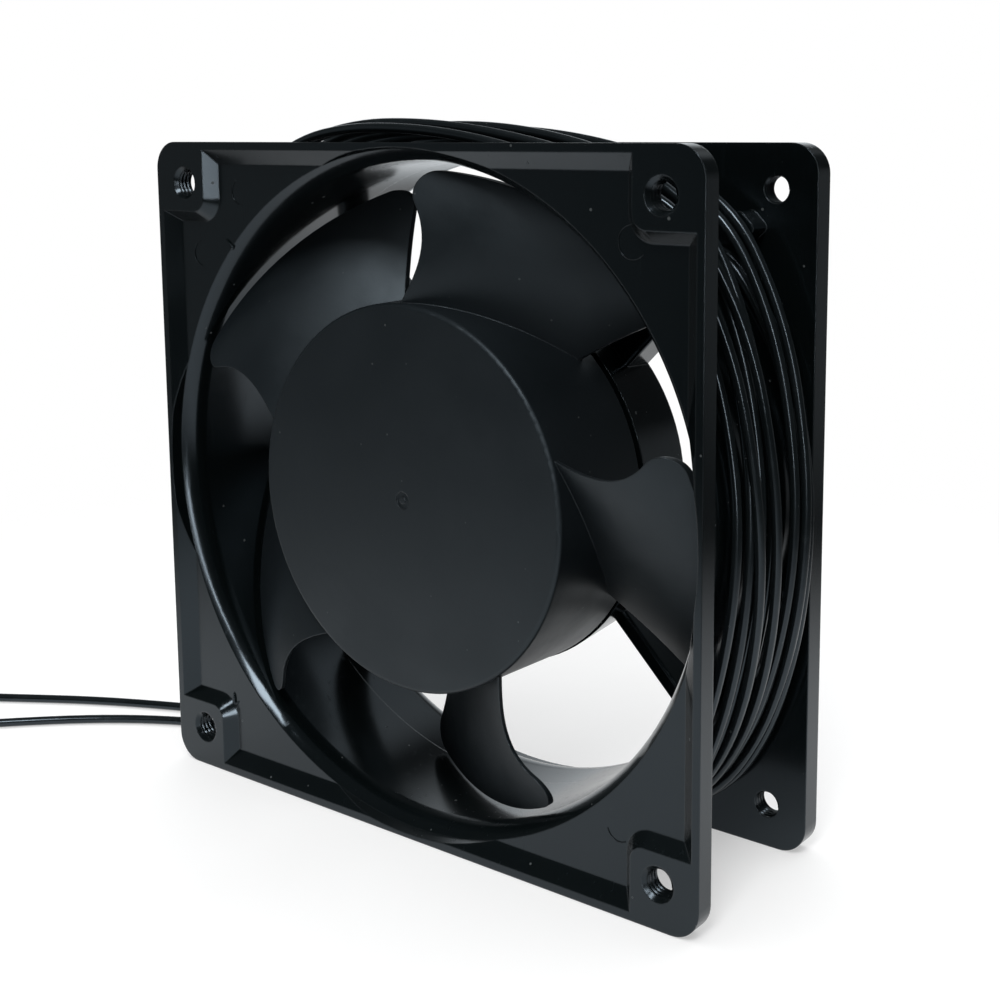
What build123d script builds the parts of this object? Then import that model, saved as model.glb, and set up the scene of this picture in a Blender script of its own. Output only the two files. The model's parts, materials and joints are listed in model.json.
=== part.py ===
from build123d import *
import os
from math import atan, cos, pi, radians, sin, tan

# An axial case fan with a 120 mm square frame, 38 mm deep, standing on its
# lower edge: +Z up, the air inlet (front) towards -Y, the rotor axis along Y.
# The origin is on the floor under the middle of the frame. Millimetres.

# ---------------------------------------------------------------- frame
SIDE = 120.0                # side of both square flanges
DEPTH = 38.0                # front face to rear face
AXIS_Z = SIDE / 2           # height of the rotor axis
FRONT_Y = -DEPTH / 2
REAR_Y = DEPTH / 2
CORNER_R = 5.0              # rounded corners of the flanges
FRONT_FLANGE = 3.5
REAR_FLANGE = 4.0
FRONT_BACK_Y = FRONT_Y + FRONT_FLANGE     # rear side of the front flange
REAR_BACK_Y = REAR_Y - REAR_FLANGE        # front side of the rear flange
HOLE_PITCH = 105.0          # standard 120 mm fan bolt pattern
HOLE_R = 2.3                # tapped mounting hole
HOLE_CHAMFER = 0.7

POCKET_DEPTH = 2.2          # recess inside the raised rim of each flange
RIM_WIDTH = 1.4
RIM_TAPER = 50.0            # slope of the pocket's walls, from the axis
PAD_SIDE = 14.6             # full-height pads round the mounting holes
PAD_TAPER = 42.0
PAD_R = 4.5

THROAT_R = 57.0             # bore that the blades turn in
MOUTH_R = 59.0              # rounded mouth at the floor of each pocket
RIM_MOUTH_R = 59.3          # mouth at the outer faces
MOUTH_LENGTH = 4.3          # throat to pocket floor
PARTING_Y = 5.2             # the mould's two halves meet in the throat with a small step
PARTING_STEP = 0.2
DUCT_R = 58.0               # outside of the duct, under the wound leads
DUCT_FILLET = 1.3
INSIDE_BORE_R = 30.0        # inner radius of the blank ring before the bore is cut

# ---------------------------------------------------------------- motor base
BASE_Y = 4.8                # front of the fixed motor base
BASE_R = 34.2
BASE_REAR_R = 33.0
BASE_PLATE = 2.0
BASE_WALL = 1.8
BASE_REAR_Y = REAR_Y - 0.4  # base, struts and cover sit just inside the rear face
SOCKET_DEPTH = 5.4          # socket in the base for the bearing tube
STRUT_ANGLES = (135.0, 225.0, 315.0)
STRUT_WIDTH = 3.0
STRUT_Y = 12.0
LEAD_ANGLE = 45.0           # the wide strut that carries the leads
LEAD_STRUT_WIDTH = 6.2
LEAD_STRUT_Y = 11.0
LUG_LENGTH = 4.2            # retaining lug on the rear flange
LUG_R = 67.3
LUG_ANGLE = 44.0
PASSAGE_R = 14.5            # the motor's own wires pass the base plate here
PASSAGE_ANGLE = 12.0        # to each side of the leads
CHANNEL_WIDTH = 4.6
CHANNEL_Y = 12.25           # bottom of the lead channel, open to the rear
COVER_R = 29.6
COVER_THICK = 1.5
COVER_SEAT_Y = 16.9
COVER_SCREW_R = 25.4
COVER_SCREW_ANGLES = (105.0, 225.0, 345.0)

# ---------------------------------------------------------------- rotor
HUB_FACE_Y = -18.2
HUB_FRONT_R = 33.5
HUB_REAR_R = 34.0
HUB_REAR_Y = 3.6
HUB_WALL_IN_R = 32.2
HUB_PLATE = 1.6
BLADES = 5
BLADE_TIP_R = 55.8
BLADE_THICK = 1.7
BLADE_THINNING = 0.15       # the rear surface lies forward by this, and at the edges
BLADE_EDGE_THINNING = 0.95  # by this much more
BLADE_EDGE_SHARE = 0.35     # share of the blade's width that thins to each edge
BLADE_FRONT_Y = -16.4       # leading edge
BLADE_CAMBER = 0.35
BLADE_CORNER_R = 3.4
CAN_R = 32.15
CAN_WALL = 1.25
CAN_REAR_Y = 2.6
STACK_FRONT_Y = -11.5
STACK_REAR_Y = 0.5
ROTOR_STACK_IN_R = 26.0
ROTOR_BARS = 28
STATOR_R = 25.6
SHAFT_R = 2.5
SHAFT_FRONT_Y = -16.5
SHAFT_REAR_Y = 9.2
BOSS_R = 7.0                # hole in the can's floor for the shaft's boss
BOSS_REAR_Y = -12.9
CLIP_Y = 7.6                # groove near the shaft's rear end

# ---------------------------------------------------------------- bearings
BEARING_R = 6.5             # 5 x 13 x 4 deep-groove ball bearings
BEARING_W = 4.0
BEARING_Y = {"front": -9.6, "rear": 4.0}      # mid-planes
BALL_R = 0.95
BALL_PITCH_R = 4.5
BALLS = 8
TUBE_R = 8.2
TUBE_FRONT_Y = -12.2
TUBE_SHOULDER_R = 5.7
SPRING_ROOM = 2.2           # between the tube's front shoulder and the front bearing

# ---------------------------------------------------------------- stator
POLES = 4
POLE_WIDTH = 9.0
BOBBIN_WALL = 0.8
BOBBIN_IN_R = 12.6
BOBBIN_OUT_R = 21.6
COIL_HALF = 8.0
COIL_HALF_Y = 9.2
SHADING_R = 24.0            # copper shading straps, one through each pole shoe
SHADING_ANGLE = 19.0
SHADING_STRAP = 1.1
FIT = 0.05                  # gap between neighbouring fixed pieces

# ---------------------------------------------------------------- leads
LEAD_D = 1.7
LEAD_SPACE = 2.0            # between the two leads in their channel
LEAD_Y = CHANNEL_Y + LEAD_D / 2 + FIT
SPLICE_START_R = 19.5       # sleeves over the splices to the motor's own wires
SPLICE_END_R = 26.2
WIND_IN_R = 58.05           # leads wound round the duct for delivery
WIND_HALF_Y = 13.6
WIND_FLOOR = AXIS_Z - 0.08  # depth below the axis of the turns that lie on the floor
WIND_FLAT = 32.0            # they lie flat this far to each side
# outer edge of the slack turns, which stand off at the corners: (angle, radius)
WIND_LOOP = [(-57, 70.4), (-50, 70.9), (-40, 68.4), (-29, 65.3), (-13, 62.3), (0, 61.1), (15, 62.3),
             (32, 65.8), (46, 68.9), (65, 66.2), (80, 64.1), (95, 64.3), (107, 67.0),
             (118, 69.6), (135, 69.2), (150, 65.4), (165, 61.2), (180, 59.85), (195, 61.2),
             (212, 66.0), (227, 70.0), (237, 70.4)]
FLOOR_Z = 0.87              # centre height of a lead lying on the floor
TIP_LENGTH = 6.0
TIP_R = 0.55
TAIL_A = [(-9, 4.0), (-27, 5.2), (-45, 4.6), (-62, 1.8), (-78, -4.2), (-96, -12.6),
          (-113, -23.0), (-129, -33.0), (-143, -39.6), (-158, -44.2)]
TAIL_B = [(-9, -1.0), (-26, -0.1), (-42, -0.7), (-58, -3.6), (-73, -9.6), (-87, -18.4),
          (-101, -31.0), (-112, -43.0), (-124, -53.0), (-138, -60.2)]
TAILS = {"a": TAIL_A, "b": TAIL_B}

AXIS = Axis((0, 0, AXIS_Z), (0, 1, 0))
RADIAL = Plane(origin=(0, 0, AXIS_Z), x_dir=(0, 1, 0), z_dir=(1, 0, 0))    # (y, radius)


def facing(y):
    """Plane square to the rotor axis at y, its normal towards the front."""
    return Plane(origin=(0, y, AXIS_Z), x_dir=(1, 0, 0), z_dir=(0, -1, 0))


def spoke(angle):
    """Plane square to the radius at the given angle, at the rotor axis."""
    a = radians(angle)
    return Plane(origin=(0, 0, AXIS_Z), x_dir=(0, 1, 0), z_dir=(cos(a), 0, sin(a)))


def polar(radius, angle):
    a = radians(angle)
    return (radius * cos(a), radius * sin(a))


def save(builder, name):
    builder.part.label = name
    export_step(builder.part, f"parts/{name}.step")


def ring(radius_out, radius_in, y_front, y_rear):
    """Add a plain ring about the rotor axis to the part being built."""
    with BuildSketch(facing(y_rear)) as section:
        Circle(radius_out)
        Circle(radius_in, mode=Mode.SUBTRACT)
    extrude(section.sketch, amount=y_rear - y_front)


def turned(points):
    """Add a turned piece, from a closed outline of (y, radius) points."""
    with BuildSketch(RADIAL) as section:
        with BuildLine():
            Polyline(*points, close=True)
        make_face()
    revolve(section.sketch, axis=AXIS)


os.makedirs("parts", exist_ok=True)

# ================================================================ housing
# One moulding: two flanges, the duct, four struts and the motor base.
rim_half = SIDE / 2 - RIM_WIDTH
pocket_front_y = FRONT_Y + POCKET_DEPTH
pocket_rear_y = REAR_Y - POCKET_DEPTH
mouth_arc_r = (MOUTH_LENGTH ** 2 + (MOUTH_R - THROAT_R) ** 2) / (2 * (MOUTH_R - THROAT_R))
mouth_turn = atan(MOUTH_LENGTH / (mouth_arc_r - (MOUTH_R - THROAT_R)))


def mouth_mid(throat_y, outward):
    """Middle point of the rounded mouth's arc, which starts along the throat."""
    half = mouth_turn / 2
    return (throat_y + outward * mouth_arc_r * sin(half), THROAT_R + mouth_arc_r * (1 - cos(half)))


def flange(y_rear, thick, pocket_plane):
    """A square flange with a raised rim and a full-height pad at each hole."""
    with BuildSketch(facing(y_rear)) as outline:
        RectangleRounded(SIDE, SIDE, CORNER_R)
    extrude(outline.sketch, amount=thick)
    with BuildSketch(pocket_plane) as pocket:
        RectangleRounded(2 * rim_half, 2 * rim_half, CORNER_R - RIM_WIDTH)
    extrude(pocket.sketch, amount=-POCKET_DEPTH, taper=RIM_TAPER, mode=Mode.SUBTRACT)
    with BuildSketch(pocket_plane.offset(-POCKET_DEPTH)) as pads:
        with GridLocations(SIDE, SIDE, 2, 2):
            RectangleRounded(2 * PAD_SIDE, 2 * PAD_SIDE, PAD_R)
    extrude(pads.sketch, amount=POCKET_DEPTH, taper=PAD_TAPER)


with BuildPart() as housing:
    front_plane = facing(FRONT_Y)
    rear_plane = Plane(origin=(0, REAR_Y, AXIS_Z), x_dir=(-1, 0, 0), z_dir=(0, 1, 0))
    flange(FRONT_BACK_Y, FRONT_FLANGE, front_plane)
    flange(REAR_Y, REAR_FLANGE, rear_plane)
    # the duct's outside, with a fillet into each flange
    with BuildSketch(RADIAL):
        with BuildLine():
            fillet_top = DUCT_R + DUCT_FILLET
            front_foot = (FRONT_BACK_Y + DUCT_FILLET, DUCT_R)
            rear_foot = (REAR_BACK_Y - DUCT_FILLET, DUCT_R)
            Line((FRONT_BACK_Y, INSIDE_BORE_R), (FRONT_BACK_Y, fillet_top))
            RadiusArc((FRONT_BACK_Y, fillet_top), front_foot, -DUCT_FILLET)
            Line(front_foot, rear_foot)
            RadiusArc(rear_foot, (REAR_BACK_Y, fillet_top), -DUCT_FILLET)
            Line((REAR_BACK_Y, fillet_top), (REAR_BACK_Y, INSIDE_BORE_R))
            Line((REAR_BACK_Y, INSIDE_BORE_R), (FRONT_BACK_Y, INSIDE_BORE_R))
        make_face()
    revolve(axis=AXIS)
    # everything outside the square outline goes
    with BuildSketch(facing(REAR_Y)):
        RectangleRounded(SIDE, SIDE, CORNER_R)
    extrude(amount=DEPTH, mode=Mode.INTERSECT)
    # the bore: throat and two rounded mouths
    front_throat_y = pocket_front_y + MOUTH_LENGTH
    rear_throat_y = pocket_rear_y - MOUTH_LENGTH
    with BuildSketch(RADIAL):
        with BuildLine():
            front_throat = (front_throat_y, THROAT_R)
            front_mouth = (pocket_front_y, MOUTH_R)
            rear_throat = (rear_throat_y, THROAT_R + PARTING_STEP)
            rear_mouth = (pocket_rear_y, MOUTH_R)
            Polyline(rear_throat, (PARTING_Y, THROAT_R + PARTING_STEP), (PARTING_Y, THROAT_R),
                     front_throat)
            ThreePointArc(front_throat, mouth_mid(front_throat_y, -1), front_mouth)
            Polyline(front_mouth, (FRONT_Y - 1, RIM_MOUTH_R), (FRONT_Y - 1, 0),
                     (REAR_Y + 1, 0), (REAR_Y + 1, RIM_MOUTH_R), rear_mouth)
            ThreePointArc(rear_mouth, mouth_mid(rear_throat_y, 1), rear_throat)
        make_face()
    revolve(axis=AXIS, mode=Mode.SUBTRACT)
    # struts, each let into the base's wall and the duct's wall
    strut_length = THROAT_R + 0.6 - (BASE_REAR_R - 1)
    for angle in STRUT_ANGLES:
        with BuildSketch(spoke(angle).offset(BASE_REAR_R - 1)):
            with Locations(((STRUT_Y + BASE_REAR_Y) / 2, 0)):
                RectangleRounded(BASE_REAR_Y - STRUT_Y, STRUT_WIDTH, 0.6)
        extrude(amount=strut_length)
    with BuildSketch(spoke(LEAD_ANGLE).offset(BASE_REAR_R - 1)):
        with Locations(((LEAD_STRUT_Y + BASE_REAR_Y) / 2, 0)):
            RectangleRounded(BASE_REAR_Y - LEAD_STRUT_Y, LEAD_STRUT_WIDTH, 0.8)
    extrude(amount=strut_length)
    # the motor base: a cup open to the rear, with a socket for the bearing tube
    turned([(BASE_Y, TUBE_R), (BASE_Y, BASE_R), (BASE_REAR_Y, BASE_REAR_R),
            (BASE_REAR_Y, COVER_R + FIT), (COVER_SEAT_Y, COVER_R + FIT),
            (COVER_SEAT_Y, COVER_R - 1.4), (BASE_Y + BASE_PLATE, BASE_R - BASE_WALL - 3.2),
            (BASE_Y + BASE_PLATE, TUBE_R + 2.4), (BASE_Y + SOCKET_DEPTH, TUBE_R + 2.0),
            (BASE_Y + SOCKET_DEPTH, TUBE_R)])
    # three pillars for the cover's screws
    with BuildSketch(facing(COVER_SEAT_Y)):
        for angle in COVER_SCREW_ANGLES:
            with Locations(polar(COVER_SCREW_R, angle)):
                Circle(3.2)
    extrude(amount=COVER_SEAT_Y - BASE_Y - 1)
    with BuildSketch(facing(COVER_SEAT_Y)):
        for angle in COVER_SCREW_ANGLES:
            with Locations(polar(COVER_SCREW_R, angle)):
                Circle(1.05)
    extrude(amount=8.5, mode=Mode.SUBTRACT)
    # two passages for the motor's own wires, through the base plate
    with BuildSketch(facing(BASE_Y + BASE_PLATE + 1)):
        for angle in (LEAD_ANGLE - PASSAGE_ANGLE, LEAD_ANGLE + PASSAGE_ANGLE):
            with Locations(polar(PASSAGE_R, angle)):
                Circle(1.3)
    extrude(amount=BASE_PLATE + 2, mode=Mode.SUBTRACT)
    # the lead channel: open to the rear, from the base's cavity to the duct's wall
    with BuildSketch(spoke(LEAD_ANGLE).offset(27)):
        with Locations(((CHANNEL_Y + REAR_Y) / 2, 0)):
            Rectangle(REAR_Y - CHANNEL_Y, CHANNEL_WIDTH)
    extrude(amount=THROAT_R - 1.2 - 27, mode=Mode.SUBTRACT)
    # the slot through the duct's wall for the grommet
    with BuildSketch(spoke(LEAD_ANGLE).offset(THROAT_R - 1.5)):
        with Locations((LEAD_Y, 0)):
            SlotOverall(CHANNEL_WIDTH, 2.6, rotation=90)
    extrude(amount=6, mode=Mode.SUBTRACT)
    # a lug that keeps the wound leads off the mounting hole
    with BuildSketch(facing(REAR_BACK_Y + 0.5)):
        with Locations(polar(LUG_R, LUG_ANGLE)):
            RectangleRounded(4.4, 3.2, 1.0, rotation=LUG_ANGLE - 90)
    extrude(amount=LUG_LENGTH + 0.5)
    # tapped mounting holes, chamfered on both sides of both flanges
    with BuildSketch(facing(REAR_Y + 1)):
        with GridLocations(HOLE_PITCH, HOLE_PITCH, 2, 2):
            Circle(HOLE_R)
    extrude(amount=DEPTH + 2, mode=Mode.SUBTRACT)
    circles = housing.edges().filter_by(GeomType.CIRCLE)
    bores = circles.filter_by(lambda e: abs(e.radius - HOLE_R) < 1e-4)
    chamfer(bores.filter_by(lambda e: abs(abs(e.center().Y) - REAR_Y) < 1e-3), HOLE_CHAMFER)
save(housing, "housing")

# ================================================================ impeller
# A deep hub cup with five forward-swept blades, one moulding.


def leading_angle(radius):
    return 12.0 + 0.06 * (radius - 44.0) ** 2


def trailing_angle(radius):
    return -27.0 - 0.36 * (radius - 34.0)


def trailing_y(radius):
    return 0.8 + 0.34 * (radius - 34.0)


def blade_point(radius, along):
    """Point of the blade's middle surface; along is 0 at the leading edge, 1 at the trailing."""
    angle = leading_angle(radius) + (trailing_angle(radius) - leading_angle(radius)) * along
    drop = (1 - BLADE_CAMBER) * along + BLADE_CAMBER * along * along
    x, z = polar(radius, angle)
    return Vector(x, BLADE_FRONT_Y + (trailing_y(radius) - BLADE_FRONT_Y) * drop, AXIS_Z + z)


def thinning(along):
    """How far forward the blade's rear surface lies of a blade of even thickness."""
    into_edge = max(BLADE_EDGE_SHARE - along, along - (1 - BLADE_EDGE_SHARE), 0)
    return BLADE_THINNING + BLADE_EDGE_THINNING * (into_edge / BLADE_EDGE_SHARE) ** 2


blade_radii = [32.6, 36.5, 40.5, 44.5, 48.5, 52.5, 57.0]
blade_steps = [-0.16 + 0.12 * i for i in range(12)]
blade_sheet = Face.make_surface_from_array_of_points(
    [[blade_point(r, s) for s in blade_steps] for r in blade_radii], tol=0.01, smoothing=None)
rear_sheet = Face.make_surface_from_array_of_points(
    [[blade_point(r, s) - Vector(0, thinning(s), 0) for s in blade_steps] for r in blade_radii],
    tol=0.01, smoothing=None)

with BuildPart() as blade:
    edge_radii = (32.8, 36.5, 40.5, 44.5, 48.5, 52.5, BLADE_TIP_R)
    with BuildSketch(facing(14)):
        with BuildLine():
            leading = Spline(*[polar(r, leading_angle(r)) for r in edge_radii])
            trailing = Spline(*[polar(r, trailing_angle(r)) for r in edge_radii])
            mid_angle = (leading_angle(BLADE_TIP_R) + trailing_angle(BLADE_TIP_R)) / 2
            ThreePointArc(leading @ 1, polar(BLADE_TIP_R, mid_angle), trailing @ 1)
            Line(trailing @ 0, leading @ 0)
        outline = make_face()
        corners = outline.vertices().filter_by(
            lambda v: Vector(v.X, v.Y).length > BLADE_TIP_R - 0.5)
        fillet(corners, BLADE_CORNER_R)
    extrude(amount=34)
    thicken(to_thicken=blade_sheet, amount=BLADE_THICK / 2, both=True, mode=Mode.INTERSECT)
    thicken(to_thicken=rear_sheet, amount=BLADE_THICK / 2, both=True, mode=Mode.INTERSECT)

with BuildPart() as impeller:
    turned([(HUB_FACE_Y, 0), (HUB_FACE_Y, HUB_FRONT_R), (HUB_REAR_Y, HUB_REAR_R),
            (HUB_REAR_Y, HUB_WALL_IN_R), (HUB_FACE_Y + HUB_PLATE, HUB_WALL_IN_R),
            (HUB_FACE_Y + HUB_PLATE, 0)])
    fillet(impeller.edges().filter_by(GeomType.CIRCLE).group_by(Axis.Y)[0], 0.8)
    # the moulding gate at the centre: a small well with a pip
    with BuildSketch(facing(HUB_FACE_Y + 0.3)):
        Circle(1.5)
        Circle(0.6, mode=Mode.SUBTRACT)
    extrude(amount=1, mode=Mode.SUBTRACT)
    for i in range(BLADES):
        add(blade.part.rotate(AXIS, -i * 360 / BLADES))
    # nothing of the blades reaches inside the cup
    with BuildSketch(facing(HUB_REAR_Y + 1)):
        Circle(HUB_WALL_IN_R)
    extrude(amount=HUB_REAR_Y + 1 - HUB_FACE_Y - HUB_PLATE, mode=Mode.SUBTRACT)
save(impeller, "impeller")

# ================================================================ rotor, inside the hub
can_plate_y = HUB_FACE_Y + HUB_PLATE
with BuildPart() as rotor_can:
    turned([(can_plate_y, BOSS_R), (can_plate_y, CAN_R), (CAN_REAR_Y, CAN_R),
            (CAN_REAR_Y, CAN_R - CAN_WALL), (can_plate_y + CAN_WALL, CAN_R - CAN_WALL),
            (can_plate_y + CAN_WALL, BOSS_R)])
save(rotor_can, "rotor_can")

stack_out_r = CAN_R - CAN_WALL
bar_r = 1.0
bar_pitch_r = (stack_out_r + ROTOR_STACK_IN_R) / 2
with BuildPart() as rotor_stack:
    with BuildSketch(facing(STACK_REAR_Y)):
        Circle(stack_out_r)
        Circle(ROTOR_STACK_IN_R, mode=Mode.SUBTRACT)
        with PolarLocations(bar_pitch_r, ROTOR_BARS):
            Circle(bar_r + FIT, mode=Mode.SUBTRACT)
    extrude(amount=STACK_REAR_Y - STACK_FRONT_Y)
save(rotor_stack, "rotor_stack")

with BuildPart() as rotor_cage:
    ring(stack_out_r - 0.2, ROTOR_STACK_IN_R + 0.3, STACK_FRONT_Y - 2.4, STACK_FRONT_Y)
    ring(stack_out_r - 0.2, ROTOR_STACK_IN_R + 0.3, STACK_REAR_Y, STACK_REAR_Y + 1.9)
    with BuildSketch(facing(STACK_REAR_Y + 0.5)):
        with PolarLocations(bar_pitch_r, ROTOR_BARS):
            Circle(bar_r)
    extrude(amount=STACK_REAR_Y - STACK_FRONT_Y + 1)
save(rotor_cage, "rotor_cage")

with BuildPart() as shaft_boss:
    turned([(can_plate_y, SHAFT_R), (can_plate_y, BOSS_R), (can_plate_y + CAN_WALL, BOSS_R),
            (can_plate_y + CAN_WALL, BOSS_R + 1.4), (can_plate_y + CAN_WALL + 1.4, BOSS_R + 0.6),
            (BOSS_REAR_Y, 4.6), (BOSS_REAR_Y, SHAFT_R)])
save(shaft_boss, "shaft_boss")

with BuildPart() as shaft:
    turned([(SHAFT_FRONT_Y, 0), (SHAFT_FRONT_Y, SHAFT_R), (CLIP_Y, SHAFT_R), (CLIP_Y, SHAFT_R - 0.6),
            (CLIP_Y + 0.7, SHAFT_R - 0.6), (CLIP_Y + 0.7, SHAFT_R), (SHAFT_REAR_Y - 0.4, SHAFT_R),
            (SHAFT_REAR_Y, SHAFT_R - 0.4), (SHAFT_REAR_Y, 0)])
save(shaft, "shaft")

with BuildPart() as spacer_sleeve:
    ring(SHAFT_R + 1.0, SHAFT_R, BOSS_REAR_Y, BEARING_Y["front"] - BEARING_W / 2)
save(spacer_sleeve, "spacer_sleeve")

with BuildPart() as thrust_washer:
    ring(4.4, SHAFT_R, BEARING_Y["rear"] + BEARING_W / 2, CLIP_Y)
save(thrust_washer, "thrust_washer")

with BuildPart() as retaining_clip:
    with BuildSketch(facing(CLIP_Y + 0.65)):
        Circle(4.2)
        Circle(SHAFT_R - 0.55, mode=Mode.SUBTRACT)
        with Locations((0, -3.2)):
            Rectangle(2.4, 4.0, mode=Mode.SUBTRACT)
        with Locations((-3.4, 1.6), (3.4, 1.6)):
            Circle(0.7, mode=Mode.SUBTRACT)
    extrude(amount=0.6)
save(retaining_clip, "retaining_clip")

# ================================================================ ball bearings
inner_land_r = 3.85
outer_land_r = 5.15
for place, mid_y in BEARING_Y.items():
    lo = mid_y - BEARING_W / 2
    hi = mid_y + BEARING_W / 2
    with BuildPart() as inner_ring:
        ring(inner_land_r, SHAFT_R, lo, hi)
        with BuildSketch(RADIAL):
            with Locations((mid_y, BALL_PITCH_R)):
                Circle(BALL_R + FIT)
        revolve(axis=AXIS, mode=Mode.SUBTRACT)
    save(inner_ring, f"{place}_bearing_inner")
    with BuildPart() as outer_ring:
        ring(BEARING_R, outer_land_r, lo, hi)
        with BuildSketch(RADIAL):
            with Locations((mid_y, BALL_PITCH_R)):
                Circle(BALL_R + FIT)
        revolve(axis=AXIS, mode=Mode.SUBTRACT)
    save(outer_ring, f"{place}_bearing_outer")
    with BuildPart(facing(mid_y)) as balls:
        with PolarLocations(BALL_PITCH_R, BALLS):
            Sphere(BALL_R)
    save(balls, f"{place}_bearing_balls")

front_seat = BEARING_Y["front"] + BEARING_W / 2
rear_seat = BEARING_Y["rear"] - BEARING_W / 2
with BuildPart() as bearing_tube:
    turned([(TUBE_FRONT_Y, BEARING_R), (TUBE_FRONT_Y, TUBE_R), (BASE_Y + SOCKET_DEPTH, TUBE_R),
            (BASE_Y + SOCKET_DEPTH, BEARING_R), (rear_seat, BEARING_R), (rear_seat, TUBE_SHOULDER_R),
            (front_seat + SPRING_ROOM, TUBE_SHOULDER_R), (front_seat + SPRING_ROOM, BEARING_R)])
save(bearing_tube, "bearing_tube")

# a short coil spring between the tube's shoulder and the front bearing
spring_wire_r = 0.3
with BuildPart() as preload_spring:
    spring_r = BEARING_R - spring_wire_r - 0.12
    spring_rear = (0, front_seat + SPRING_ROOM - spring_wire_r, AXIS_Z)
    with BuildLine():
        coil = Helix(pitch=0.8, height=1.55, radius=spring_r, center=spring_rear,
                     direction=(0, -1, 0))
    with BuildSketch(Plane(origin=coil @ 0, z_dir=coil % 0)):
        Circle(spring_wire_r)
    sweep(path=coil, is_frenet=True)
save(preload_spring, "preload_spring")

# ================================================================ stator
with BuildPart() as stator_core:
    with BuildSketch(facing(STACK_REAR_Y)):
        Circle(STATOR_R)
        Rectangle(2 * (BOBBIN_OUT_R + FIT), 2 * (BOBBIN_OUT_R + FIT), mode=Mode.SUBTRACT)
        Circle(BOBBIN_IN_R - FIT)
        Rectangle(2 * STATOR_R - 3, POLE_WIDTH)
        Rectangle(POLE_WIDTH, 2 * STATOR_R - 3)
        Circle(TUBE_R, mode=Mode.SUBTRACT)
        # slots that the shading rings pass through
        with PolarLocations(SHADING_R, POLES, start_angle=SHADING_ANGLE):
            Rectangle(SHADING_STRAP + 0.3, SHADING_STRAP + 0.3, mode=Mode.SUBTRACT)
    extrude(amount=STACK_REAR_Y - STACK_FRONT_Y)
save(stator_core, "stator_core")

stack_mid_y = (STACK_FRONT_Y + STACK_REAR_Y) / 2
stack_half = (STACK_REAR_Y - STACK_FRONT_Y) / 2
arm_y = 2 * (stack_half + FIT)
arm_x = POLE_WIDTH + 2 * FIT


def sleeve(plane, width_y, width_x, hole_y, hole_x, length):
    """A square sleeve round a pole arm; widths along Y and across the arm."""
    with BuildSketch(plane) as section:
        with Locations((stack_mid_y, 0)):
            RectangleRounded(width_y, width_x, min(2.0, width_x / 6))
            Rectangle(hole_y, hole_x, mode=Mode.SUBTRACT)
    extrude(section.sketch, amount=length)


for i in range(POLES):
    angle = 90.0 * i
    body_y = arm_y + 2 * BOBBIN_WALL
    body_x = arm_x + 2 * BOBBIN_WALL
    with BuildPart() as bobbin:
        sleeve(spoke(angle).offset(BOBBIN_IN_R), body_y, body_x, arm_y, arm_x,
               BOBBIN_OUT_R - BOBBIN_IN_R)
        for start in (BOBBIN_IN_R, BOBBIN_OUT_R - BOBBIN_WALL):
            sleeve(spoke(angle).offset(start), 2 * COIL_HALF_Y, 2 * COIL_HALF + 0.4,
                   arm_y, arm_x, BOBBIN_WALL)
    save(bobbin, f"bobbin_{i + 1}")
    with BuildPart() as winding:
        coil_length = BOBBIN_OUT_R - BOBBIN_IN_R - 2 * BOBBIN_WALL - 2 * FIT
        sleeve(spoke(angle).offset(BOBBIN_IN_R + BOBBIN_WALL + FIT),
               2 * COIL_HALF_Y - 0.6, 2 * COIL_HALF - 0.4,
               body_y + 2 * FIT, body_x + 2 * FIT, coil_length)
    save(winding, f"winding_{i + 1}")
    # a copper strap through the shoe's slot, bent over both ends of the stack
    strap_angle = angle + SHADING_ANGLE
    with BuildPart() as shading_ring:
        with BuildSketch(facing(STACK_REAR_Y + SHADING_STRAP)):
            with Locations(polar(SHADING_R, strap_angle)):
                Rectangle(SHADING_STRAP, SHADING_STRAP, rotation=strap_angle)
        extrude(amount=2 * stack_half + 2 * SHADING_STRAP)
        for end_y in (STACK_FRONT_Y, STACK_REAR_Y + SHADING_STRAP):
            with BuildSketch(facing(end_y)):
                with Locations(polar(SHADING_R, strap_angle + 3.4)):
                    Rectangle(SHADING_STRAP, 4.0, rotation=strap_angle + 3.4)
            extrude(amount=SHADING_STRAP)
    save(shading_ring, f"shading_ring_{i + 1}")

# ================================================================ rear cover
with BuildPart() as rear_cover:
    with BuildSketch(facing(COVER_SEAT_Y + COVER_THICK)):
        Circle(COVER_R)
        for angle in COVER_SCREW_ANGLES:
            with Locations(polar(COVER_SCREW_R, angle)):
                Circle(1.35, mode=Mode.SUBTRACT)
    extrude(amount=COVER_THICK - FIT)
    with BuildSketch(facing(COVER_SEAT_Y + COVER_THICK)):
        Circle(COVER_SCREW_R - 3.6)
    extrude(amount=0.4, mode=Mode.SUBTRACT)
save(rear_cover, "rear_cover")

with BuildPart() as rating_label:
    with BuildSketch(facing(COVER_SEAT_Y + COVER_THICK - 0.2)):
        Circle(COVER_SCREW_R - 3.9)
    extrude(amount=0.2)
save(rating_label, "rating_label")

with BuildPart() as cover_screws:
    for angle in COVER_SCREW_ANGLES:
        x, z = polar(COVER_SCREW_R, angle)
        seat = Plane(origin=(x, COVER_SEAT_Y + COVER_THICK, AXIS_Z + z), x_dir=(1, 0, 0),
                     z_dir=(0, 1, 0))
        with BuildSketch(seat):
            Circle(2.2)
        extrude(amount=1.1)
        with BuildSketch(seat):
            Circle(1.0)
        extrude(amount=-7.5)
        with BuildSketch(seat.offset(0.5)):
            Rectangle(2.6, 0.5)
            Rectangle(0.5, 2.6)
        extrude(amount=1, mode=Mode.SUBTRACT)
save(cover_screws, "cover_screws")

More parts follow.
